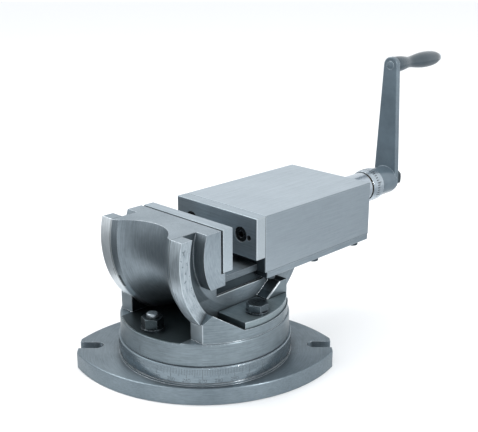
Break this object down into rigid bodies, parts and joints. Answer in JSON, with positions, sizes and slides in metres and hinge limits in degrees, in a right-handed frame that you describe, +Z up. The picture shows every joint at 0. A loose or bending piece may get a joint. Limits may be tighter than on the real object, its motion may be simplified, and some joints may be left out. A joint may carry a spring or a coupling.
{
  "type": "two-axis machine vise",
  "caption": "Two-way precision machine vise: round graduated swivel base, bed that tilts on curved rails, flat steel jaws and a cranked feed screw.",
  "frame": {"origin": "centre of the swivel axis on the underside of the base", "axes": "+Z up along the swivel axis; X runs through the base's two open bolt slots; at rest the vise above the base is swung 45 degrees, so the feed screw points midway between +X and +Y"},
  "size_m": [0.3694, 0.3424, 0.2484],
  "materials": {
    "base_iron": "turned and ground grey iron, lightly oiled",
    "body_iron": "turned grey iron with a darker cast channel",
    "bed_iron": "ground working faces and satin grey sides",
    "jaw_iron": "fine ground top and sides",
    "plate_steel": "hardened and ground",
    "clamp_steel": "milled, dull",
    "black_steel": "black oxide",
    "bright_steel": "turned bright",
    "dial_steel": "satin chrome",
    "crank_iron": "satin blue-grey enamel",
    "nut_bronze": "machined bronze"
  },
  "bodies": {
    "table_base": {"base": "base_iron", "centre_spigot": "bright_steel"},
    "swivel": {"swivel_body": "body_iron", "swivel_t_bolts": "black_steel", "swivel_washers": "black_steel", "tilt_clamp_plate_left": "clamp_steel", "tilt_clamp_plate_right": "clamp_steel", "clamp_washers": "black_steel"},
    "nut_front": {"swivel_nut_front": "black_steel"},
    "nut_rear": {"swivel_nut_rear": "black_steel"},
    "bolt_left": {"tilt_clamp_bolt_left": "black_steel"},
    "bolt_right": {"tilt_clamp_bolt_right": "black_steel"},
    "bed": {"vise_bed": "bed_iron", "fixed_jaw_plate": "plate_steel", "fixed_jaw_screws": "black_steel", "fixed_jaw_dowels": "black_steel", "feed_nut": "nut_bronze", "feed_nut_screws": "black_steel"},
    "jaw": {"movable_jaw": "jaw_iron", "movable_jaw_plate": "plate_steel", "movable_jaw_screws": "black_steel", "movable_jaw_dowels": "black_steel", "keeper_left": "plate_steel", "keeper_right": "plate_steel", "keeper_screws": "black_steel", "bearing_sleeve": "bright_steel", "sleeve_screws": "black_steel", "screw_bush": "nut_bronze", "thrust_washers": "nut_bronze"},
    "feed_screw": {"lead_screw": "bright_steel", "feed_dial": "dial_steel", "dial_set_screw": "black_steel", "crank_arm": "crank_iron", "crank_key": "bright_steel", "crank_washer": "bright_steel", "crank_nut": "black_steel", "grip_spindle": "bright_steel"},
    "grip": {"crank_grip": "crank_iron"}
  },
  "joints": [
    {"name": "swivel_turn", "type": "hinge", "parent": "table_base", "child": "swivel", "pos_m": [0, 0, 0.031], "axis": [0, 0, 1], "continuous": true},
    {"name": "front_nut_turn", "type": "hinge", "parent": "swivel", "child": "nut_front", "pos_m": [-0.04278, -0.04278, 0.054], "axis": [0, 0, 1], "range_deg": [0, 90]},
    {"name": "rear_nut_turn", "type": "hinge", "parent": "swivel", "child": "nut_rear", "pos_m": [0.04278, 0.04278, 0.054], "axis": [0, 0, 1], "range_deg": [0, 90]},
    {"name": "left_bolt_turn", "type": "hinge", "parent": "swivel", "child": "bolt_left", "pos_m": [-0.03988, 0.04554, 0.0668], "axis": [0, 0, 1], "range_deg": [0, 90]},
    {"name": "right_bolt_turn", "type": "hinge", "parent": "swivel", "child": "bolt_right", "pos_m": [0.04554, -0.03988, 0.0668], "axis": [0, 0, 1], "range_deg": [0, 90]},
    {"name": "bed_tilt", "type": "hinge", "parent": "swivel", "child": "bed", "pos_m": [0.00636, 0.00636, 0.1225], "axis": [0.7071, -0.7071, 0], "range_deg": [0, 90]},
    {"name": "jaw_slide", "type": "slide", "parent": "bed", "child": "jaw", "axis": [0.7071, 0.7071, 0], "range_m": [-0.0284, 0.055]},
    {"name": "screw_turn", "type": "hinge", "parent": "jaw", "child": "feed_screw", "pos_m": [0.14142, 0.14142, 0.1175], "axis": [0.7071, 0.7071, 0], "range_deg": [-2560, 4954]},
    {"name": "grip_turn", "type": "hinge", "parent": "feed_screw", "child": "grip", "pos_m": [0.22345, 0.22345, 0.24], "axis": [0.7071, 0.7071, 0], "continuous": true}
  ],
  "couplings": [
    {"joint": "screw_turn", "follows": "jaw_slide", "rad_per_m": 1570.8}
  ]
}
